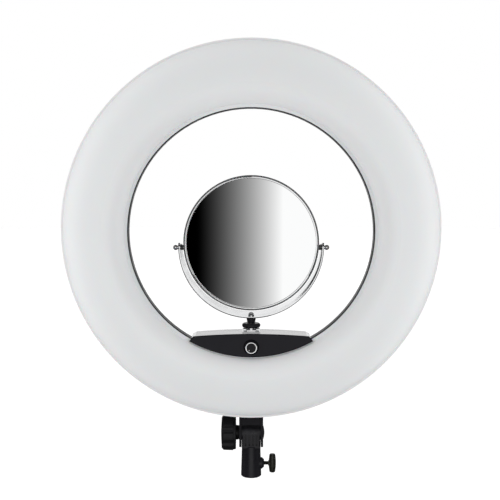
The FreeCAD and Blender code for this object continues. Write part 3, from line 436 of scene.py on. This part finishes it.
# Generic on and off marks on the two slopes of the rocker, which rests tipped to one side.
# The face is a shallow V, ROCKER_VALLEY from the pivot at its middle.
ROCKER_TIP = math.radians(-13.0)
ROCKER_PIVOT_DEPTH = -23.5 * MM
ROCKER_VALLEY = 3.0 * MM
ROCKER_RISE = 0.9 * MM
ROCKER_HALF = 5.6 * MM
MARK_REACH = 3.3 * MM
MARK_RADIUS = 1.35 * MM
MARK_HOLE = 0.95 * MM
MARK_SUNK = -0.2 * MM
MARK_PROUD = 0.06 * MM
BAR_SQUEEZE = 0.16
low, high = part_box("power_switch")
switch_x = (low.x + high.x) / 2
low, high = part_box("power_rocker")
rocker_z = (low.z + high.z) / 2
out = ROCKER_VALLEY + ROCKER_RISE * MARK_REACH / ROCKER_HALF
for side, name, hole, squeeze in (
    (-1, "rocker_off_mark", MARK_HOLE, 1.0),
    (1, "rocker_on_mark", 0.0, BAR_SQUEEZE),
):
    across = side * MARK_REACH
    spot = (
        switch_x + math.cos(ROCKER_TIP) * across - math.sin(ROCKER_TIP) * out,
        ROCKER_PIVOT_DEPTH + math.sin(ROCKER_TIP) * across + math.cos(ROCKER_TIP) * out,
        rocker_z,
    )
    profile = [(hole, MARK_SUNK), (MARK_RADIUS, MARK_SUNK), (MARK_RADIUS, MARK_PROUD), (hole, MARK_PROUD)]
    mesh = lathe(name, profile, 32, closed=hole > 0)
    lean = ROCKER_TIP + side * math.atan2(ROCKER_RISE, ROCKER_HALF)
    face = Matrix.Rotation(lean, 4, "Z") @ Matrix.Rotation(math.radians(-90.0), 4, "X")
    mesh.transform(Matrix.Translation(Vector(spot)) @ face @ Matrix.Diagonal((squeeze, 1.0, 1.0, 1.0)))
    piece(name, mesh, "power_rocker", "white_paint")

# ---------------------------------------------------------------- stage, light and camera


DISC_STEPS = 96


def disc(name, radius, spot, facing, material):
    """A flat round stage piece that faces one way."""
    made = bmesh.new()
    made.faces.new(circle(made, [radius] * DISC_STEPS, 0))
    mesh = finished(made, name, from_axis(facing, spot))
    mesh.materials.append(material)
    obj = bpy.data.objects.new(name, mesh)
    bpy.context.scene.collection.objects.link(obj)
    return obj


# The pale floor glows faintly. It puts no light on the object and doesn't show in reflections.
FLOOR_HEIGHT = -0.45
FLOOR_RADIUS = 12.0
PAPER = (0.9, 0.9, 0.9)
floor_look = Surface("floor_paper", PAPER, 0.6).mottle(1.5, 0.01)
floor_look.set("Emission Color", (*PAPER, 1.0)).set("Emission Strength", 0.25)
floor = disc("floor", FLOOR_RADIUS, (0, 0, FLOOR_HEIGHT), (0, 0, 1), floor_look.material)
floor.visible_diffuse = False
floor.visible_glossy = False

# A round card behind the camera that only reflections see: it darkens evenly towards the left.
CARD_CENTRE = (0.0017, -1.45, 0.1961)
CARD_RADIUS = 0.178
CARD_BLACK_X = -0.149
CARD_WHITE_X = 0.087
CARD_GAMMA = 2.2
card_look = bpy.data.materials.new("gradient_card")
card_look.use_nodes = True
tree = card_look.node_tree
tree.nodes.clear()
coords = add_node(tree, "ShaderNodeTexCoord")
split = add_node(tree, "ShaderNodeSeparateXYZ", {0: coords.outputs["Object"]})
inputs = {"Value": split.outputs["X"], "From Min": CARD_BLACK_X, "From Max": CARD_WHITE_X}
ramp = add_node(tree, "ShaderNodeMapRange", inputs)
power = add_node(tree, "ShaderNodeMath", {0: ramp.outputs["Result"], 1: CARD_GAMMA}, operation="POWER")
glow = add_node(tree, "ShaderNodeEmission", {"Strength": power.outputs[0]})
add_node(tree, "ShaderNodeOutputMaterial", {"Surface": glow.outputs[0]})
card = disc("gradient_card", CARD_RADIUS, CARD_CENTRE, (0, 1, 0), card_look)
for ray in ("visible_camera", "visible_diffuse", "visible_shadow", "visible_transmission"):
    setattr(card, ray, False)

# White all round for the camera. Soft light is dimmer from the front than from behind.
# Reflections see a bright patch straight ahead, one straight behind and a dim band at the sides:
# each row of BANDS is how far back the reflection points, from -1 to 1, and the brightness there.
SOFT_FRONT = 0.456
SOFT_BACK = 1.1875
SOFT_BACK_FROM = 0.1
BANDS = (
    (-1.0, 1.0),
    (-0.93, 0.95),
    (-0.84, 0.04),
    (-0.2, 0.03),
    (-0.06, 0.14),
    (0.06, 0.14),
    (0.2, 0.03),
    (0.8, 0.04),
    (0.94, 0.6),
    (0.985, 1.3),
    (1.0, 1.5),
)
world = bpy.data.worlds.new("studio")
bpy.context.scene.world = world
world.use_nodes = True
tree = world.node_tree
coords = add_node(tree, "ShaderNodeTexCoord")
depth = add_node(tree, "ShaderNodeSeparateXYZ", {0: coords.outputs["Generated"]}).outputs["Y"]
inputs = {"Value": depth, "From Min": -1.0, "From Max": SOFT_BACK_FROM}
soft = add_node(tree, "ShaderNodeMapRange", {**inputs, "To Min": SOFT_FRONT, "To Max": SOFT_BACK})
ramp_place = add_node(tree, "ShaderNodeMapRange", {"Value": depth, "From Min": -1.0, "From Max": 1.0})
bands = add_node(tree, "ShaderNodeValToRGB", {"Fac": ramp_place.outputs["Result"]})
while len(bands.color_ramp.elements) < len(BANDS):
    bands.color_ramp.elements.new(0.5)
for element, (position, level) in zip(bands.color_ramp.elements, BANDS):
    element.position = (position + 1.0) / 2.0
    element.color = (level, level, level, 1.0)
path = add_node(tree, "ShaderNodeLightPath")
factor, value_a, value_b = 0, 2, 3
inputs = {
    factor: path.outputs["Is Glossy Ray"],
    value_a: soft.outputs["Result"],
    value_b: bands.outputs["Color"],
}
unseen = add_node(tree, "ShaderNodeMix", inputs)
inputs = {factor: path.outputs["Is Camera Ray"], value_a: unseen.outputs[0], value_b: 1.0}
seen = add_node(tree, "ShaderNodeMix", inputs)
background = tree.nodes["Background"]
background.inputs["Color"].default_value = (1, 1, 1, 1)
tree.links.new(seen.outputs[0], background.inputs["Strength"])


def soft_light(name, spot, aim, side, power):
    """A square area light that neither the camera nor a reflection sees."""
    lamp = bpy.data.lights.new(name, "AREA")
    lamp.shape = "SQUARE"
    lamp.size = side
    lamp.energy = power
    obj = bpy.data.objects.new(name, lamp)
    bpy.context.scene.collection.objects.link(obj)
    obj.location = spot
    obj.rotation_euler = (Vector(aim) - Vector(spot)).to_track_quat("-Z", "Y").to_euler()
    obj.visible_camera = False
    obj.visible_glossy = False


soft_light("low_fill", (0, -1.1, -0.3), (0, -0.05, 0.25), 0.9, 0.6)
for side, word in ((-1, "left"), (1, "right")):
    soft_light("fill_" + word, (side * 1.1, -0.7, 0.3), (0, -0.05, 0.3), 0.5, 3.6)

CAMERA_SPOT = (-0.0015, -1.262, 0.4105)
CAMERA_DIP = math.radians(5.07)
camera = bpy.data.cameras.new("camera")
camera.sensor_width = 36.0
camera.lens = 70.53
camera_object = bpy.data.objects.new("camera", camera)
bpy.context.scene.collection.objects.link(camera_object)
camera_object.location = CAMERA_SPOT
camera_object.rotation_euler = (math.radians(90.0) - CAMERA_DIP, 0, 0)
bpy.context.scene.camera = camera_object
bpy.context.scene.view_settings.view_transform = "Standard"
